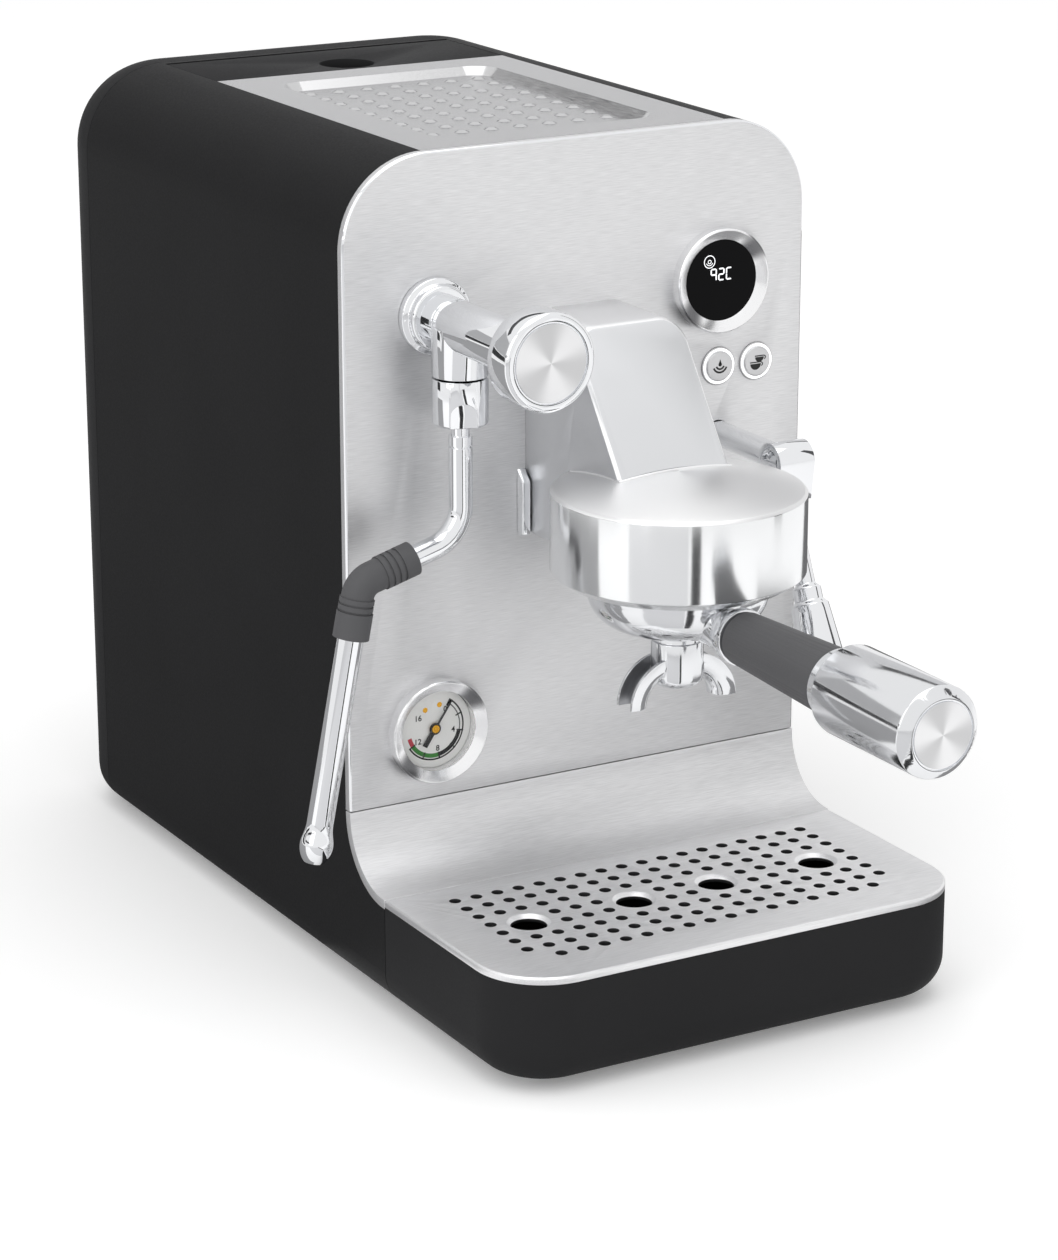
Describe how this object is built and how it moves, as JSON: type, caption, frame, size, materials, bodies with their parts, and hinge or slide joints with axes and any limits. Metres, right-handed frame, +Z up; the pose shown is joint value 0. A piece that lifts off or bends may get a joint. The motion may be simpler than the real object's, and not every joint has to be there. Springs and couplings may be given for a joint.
{
  "type": "espresso machine",
  "caption": "Compact espresso machine with a steel front, domed group and portafilter, steam wand, hot-water spout, pressure gauge, drip tray and lift-out tank.",
  "frame": {"origin": "on the floor, on the mid-plane, under the face of the front panel", "axes": "+Z up, -Y is the front that faces the user, +X to the user's right"},
  "size_m": [0.254, 0.5645, 0.354],
  "materials": {
    "black_coat": "satin powder coat",
    "black_moulding": "fine satin",
    "brushed_panel": "brushed along the width",
    "satin_steel": "satin",
    "chrome_plate": "polished",
    "spun_steel": "spun",
    "soft_rubber": "soft touch",
    "black_rubber": "matte",
    "display_glass": "polished black",
    "clear_glass": "clear",
    "dial_face": "printed",
    "needle_black": "satin",
    "light_ring": "translucent",
    "sheet_steel": "plain",
    "filter_steel": "pressed",
    "cast_block": "cast",
    "tank_plastic": "clear smoke",
    "inner_plastic": "moulded",
    "circuit_board": "laminate",
    "hose_silicone": "translucent"
  },
  "bodies": {
    "machine": {"body_shell": "black_coat", "rear_cover": "black_moulding", "front_panel": "brushed_panel", "apron_panel": "brushed_panel", "top_plate": "satin_steel", "group_neck": "satin_steel", "display_bezel": "chrome_plate", "gauge_bezel": "chrome_plate", "steam_rosette": "chrome_plate", "steam_arm": "chrome_plate", "neck_rails": "chrome_plate", "group_head": "chrome_plate", "hot_water_arm": "chrome_plate", "hot_water_nozzle": "chrome_plate", "rubber_feet": "black_rubber", "group_gasket": "black_rubber", "mains_inlet": "black_rubber", "display_lens": "display_glass", "gauge_lens": "clear_glass", "gauge_dial": "dial_face", "button_light_rings": "light_ring", "base_pan": "sheet_steel", "chassis_plate": "sheet_steel", "pump_bracket": "sheet_steel", "cover_screws": "sheet_steel", "gauge_can": "sheet_steel", "shower_screen": "filter_steel", "brew_boiler": "cast_block", "steam_boiler": "cast_block", "tank_valve_seat": "inner_plastic", "vibration_pump": "inner_plastic", "flow_meter": "inner_plastic", "solenoid_valve": "inner_plastic", "control_board": "circuit_board", "water_hoses": "hose_silicone"},
    "tray": {"drip_tray": "black_moulding"},
    "grate": {"drip_grate": "brushed_panel"},
    "tank": {"water_tank": "tank_plastic"},
    "lid": {"tank_lid": "black_moulding"},
    "steam_knob": {"steam_knob": "chrome_plate", "steam_knob_disc": "spun_steel", "steam_spindle": "filter_steel"},
    "swivel": {"wand_swivel_cup": "chrome_plate"},
    "wand": {"wand_tube": "chrome_plate", "wand_grip": "soft_rubber", "wand_sleeve": "chrome_plate", "wand_nozzle": "chrome_plate"},
    "portafilter": {"portafilter_body": "chrome_plate", "filter_basket": "filter_steel", "double_spout": "chrome_plate", "handle_ferrule": "chrome_plate", "handle_grip": "soft_rubber", "handle_cap": "chrome_plate", "handle_disc": "spun_steel"},
    "rinse_button": {"rinse_button": "spun_steel"},
    "cups_button": {"cups_button": "spun_steel"},
    "needle": {"gauge_needle": "needle_black"}
  },
  "joints": [
    {"name": "tray_slide", "type": "slide", "parent": "machine", "child": "tray", "axis": [0, -1, 0], "range_m": [0, 0.12]},
    {"name": "grate_lift", "type": "slide", "parent": "tray", "child": "grate", "axis": [0, 0, 1], "range_m": [0, 0.02]},
    {"name": "tank_lift", "type": "slide", "parent": "machine", "child": "tank", "axis": [0, 0, 1], "range_m": [0, 0.3]},
    {"name": "lid_hinge", "type": "hinge", "parent": "tank", "child": "lid", "pos_m": [0, 0.2449, 0.3513], "axis": [-1, 0, 0], "range_deg": [0, 90]},
    {"name": "steam_knob_turn", "type": "hinge", "parent": "machine", "child": "steam_knob", "pos_m": [-0.069, -0.08, 0.287], "axis": [0, 1, 0], "range_deg": [-270, 0]},
    {"name": "wand_swivel", "type": "hinge", "parent": "machine", "child": "swivel", "pos_m": [-0.069, -0.0225, 0.267], "axis": [0, 0, 1], "range_deg": [-5, 45]},
    {"name": "wand_tilt", "type": "hinge", "parent": "swivel", "child": "wand", "pos_m": [-0.069, -0.0225, 0.252], "axis": [-1, 0, 0], "range_deg": [0, 25]},
    {"name": "portafilter_turn", "type": "hinge", "parent": "machine", "child": "portafilter", "pos_m": [0, -0.079, 0.19], "axis": [0, 0, 1], "range_deg": [-45, 0]},
    {"name": "rinse_press", "type": "slide", "parent": "machine", "child": "rinse_button", "axis": [0, 1, 0], "range_m": [0, 0.0015], "stiffness_N_per_m": 1500},
    {"name": "cups_press", "type": "slide", "parent": "machine", "child": "cups_button", "axis": [0, 1, 0], "range_m": [0, 0.0015], "stiffness_N_per_m": 1500},
    {"name": "needle_swing", "type": "hinge", "parent": "machine", "child": "needle", "pos_m": [-0.069, 0, 0.1095], "axis": [0, 1, 0], "range_deg": [0, 265], "stiffness_Nm_per_rad": 0.002}
  ]
}
